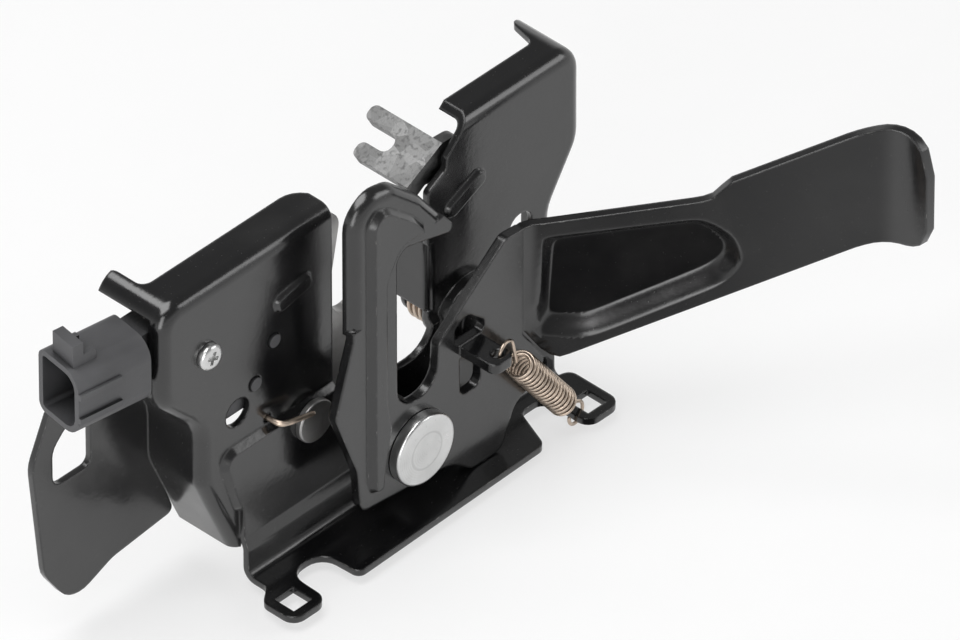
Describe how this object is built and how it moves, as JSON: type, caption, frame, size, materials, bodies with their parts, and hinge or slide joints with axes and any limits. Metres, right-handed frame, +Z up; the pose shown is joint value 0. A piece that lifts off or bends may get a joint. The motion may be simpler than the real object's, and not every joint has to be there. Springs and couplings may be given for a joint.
{
  "type": "bonnet latch",
  "caption": "Vehicle bonnet latch: stamped base plate with a throat, a claw held by a pawl, and a sprung safety lever with a hook and a long handle.",
  "frame": {"origin": "midway between the two mounting bolt holes, on the panel's front face", "axes": "+X to the handle's side along the bolt holes, +Y from the panel's front face to its back, +Z up towards the striker throat's mouth"},
  "size_m": [0.2235, 0.1257, 0.1201],
  "materials": {
    "paint": "gloss black electrocoat",
    "zinc": "bright zinc plate",
    "steel": "satin grey steel",
    "galvanised": "galvanised, lightly spotted",
    "spring": "bronze-brown oiled spring steel",
    "plastic": "fine moulded grain",
    "brass": "plain"
  },
  "bodies": {
    "base": {"base_plate": "paint", "lever_rivet": "zinc", "lever_spacer": "steel", "lever_spring": "spring", "claw_rivet": "steel", "claw_washer": "zinc", "claw_bush": "steel", "claw_spring": "spring", "pawl_rivet": "paint", "pawl_washer": "zinc", "pawl_bush": "steel", "pawl_spring": "spring", "switch_housing": "plastic", "switch_cover": "plastic", "switch_screw": "zinc", "plunger_spring": "spring", "connector_pins": "brass"},
    "lever": {"safety_lever": "paint", "lever_bush": "brass"},
    "claw": {"latch_claw": "steel"},
    "pawl": {"release_pawl": "galvanised"},
    "plunger": {"switch_plunger": "plastic"}
  },
  "joints": [
    {"name": "lever_pivot", "type": "hinge", "parent": "base", "child": "lever", "pos_m": [-0.0023, 0, -0.033], "axis": [0, -1, 0], "range_deg": [0, 25], "stiffness_Nm_per_rad": 0.5, "springref_deg": -14.32, "deforming": ["lever_spring"]},
    {"name": "claw_pivot", "type": "hinge", "parent": "base", "child": "claw", "pos_m": [-0.0282, 0.005, -0.0165], "axis": [0, 1, 0], "range_deg": [0, 36], "stiffness_Nm_per_rad": 0.3, "springref_deg": -17.19, "deforming": ["claw_spring"]},
    {"name": "pawl_pivot", "type": "hinge", "parent": "base", "child": "pawl", "pos_m": [0.0329, 0.005, -0.0162], "axis": [0, -1, 0], "range_deg": [0, 9], "stiffness_Nm_per_rad": 0.6, "deforming": ["pawl_spring"]},
    {"name": "plunger_slide", "type": "slide", "parent": "base", "child": "plunger", "axis": [1, 0, 0], "range_m": [0, 0.0021], "deforming": ["plunger_spring"]}
  ],
  "couplings": [
    {"joint": "plunger_slide", "follows": "claw_pivot", "m_per_rad": 0.00318}
  ]
}
